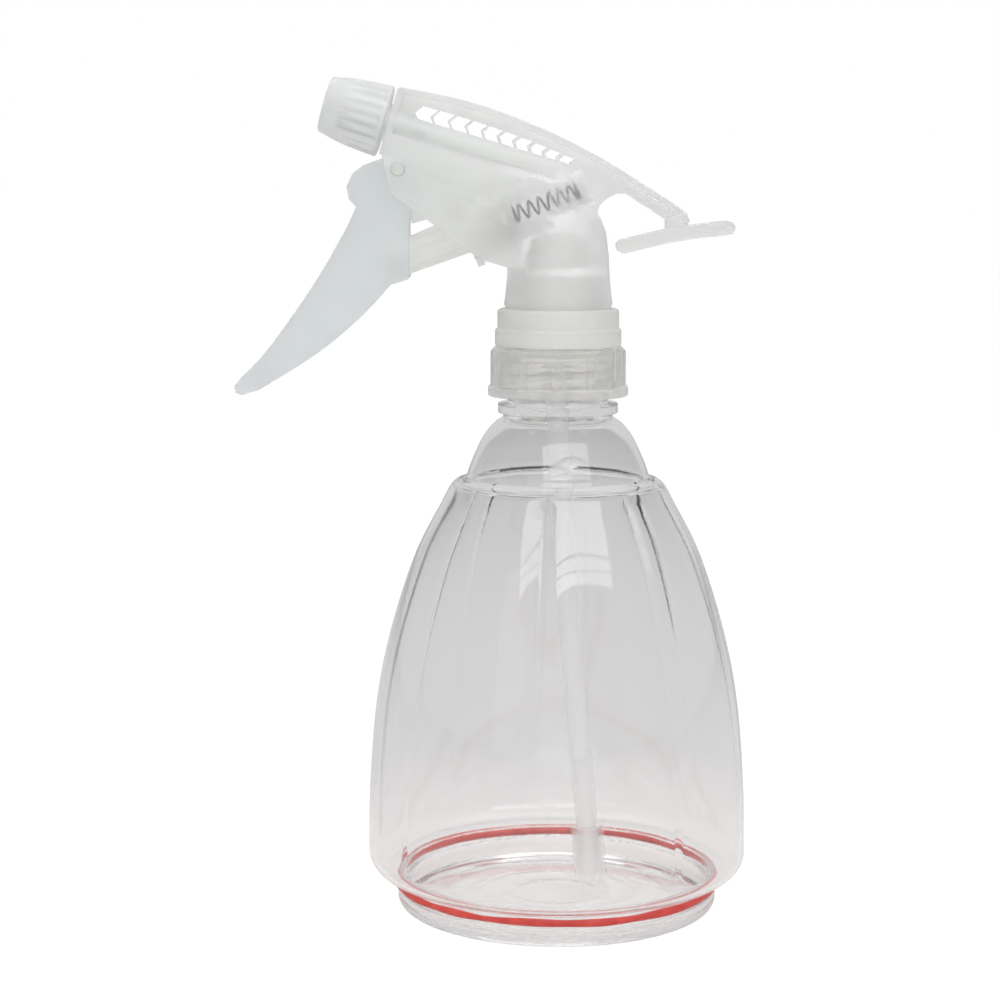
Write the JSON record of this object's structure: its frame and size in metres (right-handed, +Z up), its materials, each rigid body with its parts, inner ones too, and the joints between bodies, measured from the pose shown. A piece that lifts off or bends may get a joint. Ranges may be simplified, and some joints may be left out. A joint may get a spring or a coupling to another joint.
{
  "type": "trigger spray bottle",
  "caption": "Clear fluted spray bottle with a screw collar, a translucent trigger pump head, an adjustable nozzle, a hanging hook and a red band round its foot.",
  "frame": {"origin": "centre of the flat underside of the bottle's base, on the bottle's axis", "axes": "+Z up along the bottle's axis; -X is the way the nozzle and the trigger point; the plane y = 0 is the plane of symmetry of the pump head"},
  "size_m": [0.1281, 0.096, 0.2084],
  "materials": {
    "clear_pet": "clear, glossy blow-moulded PET",
    "red_elastic": "satin red elastic band",
    "clear_collar": "clear moulded polypropylene",
    "milky_pp": "milky satin polypropylene",
    "seal_rubber": "pale soft sealing ring",
    "frosted_pp": "frosted translucent polypropylene",
    "trigger_pp": "slightly blue frosted polypropylene",
    "nozzle_pp": "translucent fluted polypropylene",
    "spring_steel": "drawn spring wire",
    "steel_ball": "polished valve ball"
  },
  "bodies": {
    "bottle": {"bottle": "clear_pet", "red_band": "red_elastic"},
    "head": {"head_frame": "frosted_pp", "collar_retainer": "milky_pp", "neck_gasket": "seal_rubber", "valve_core": "milky_pp", "dip_tube": "frosted_pp", "intake_strainer": "frosted_pp", "pump_cylinder": "milky_pp", "pivot_pin": "milky_pp", "spray_spinner": "milky_pp", "return_spring": "spring_steel"},
    "collar": {"screw_collar": "clear_collar"},
    "trigger": {"trigger": "trigger_pp", "link_pin": "milky_pp"},
    "plunger": {"piston": "milky_pp", "piston_seal": "seal_rubber"},
    "nozzle": {"nozzle_cap": "nozzle_pp", "nozzle_gasket": "seal_rubber"},
    "inlet_valve": {"inlet_ball": "steel_ball"},
    "outlet_valve": {"outlet_ball": "steel_ball"}
  },
  "joints": [
    {"name": "head_lift", "type": "slide", "parent": "bottle", "child": "head", "axis": [0, 0, 1], "range_m": [0, 0.00634]},
    {"name": "collar_turn", "type": "hinge", "parent": "head", "child": "collar", "pos_m": [0, 0, 0.136], "axis": [0, 0, 1], "range_deg": [0, 540]},
    {"name": "trigger_pull", "type": "hinge", "parent": "head", "child": "trigger", "pos_m": [-0.0394, 0, 0.1859], "axis": [0, -1, 0], "range_deg": [0, 18.6], "stiffness_Nm_per_rad": 0.5, "springref_deg": -14.32},
    {"name": "plunger_slide", "type": "slide", "parent": "head", "child": "plunger", "axis": [0.9336, 0, 0.3584], "range_m": [0, 0.0071], "deforming": ["return_spring"]},
    {"name": "nozzle_turn", "type": "hinge", "parent": "head", "child": "nozzle", "pos_m": [-0.0427, 0, 0.1975], "axis": [-0.9593, 0, 0.2823], "range_deg": [0, 360]},
    {"name": "inlet_ball_lift", "type": "slide", "parent": "head", "child": "inlet_valve", "axis": [0, 0, 1], "range_m": [0, 0.002]},
    {"name": "outlet_ball_lift", "type": "slide", "parent": "head", "child": "outlet_valve", "axis": [-0.9593, 0, 0.2823], "range_m": [0, 0.0015]}
  ],
  "couplings": [
    {"joint": "collar_turn", "follows": "head_lift", "rad_per_m": 1484.3},
    {"joint": "plunger_slide", "follows": "trigger_pull", "m_per_rad": 0.021563}
  ]
}
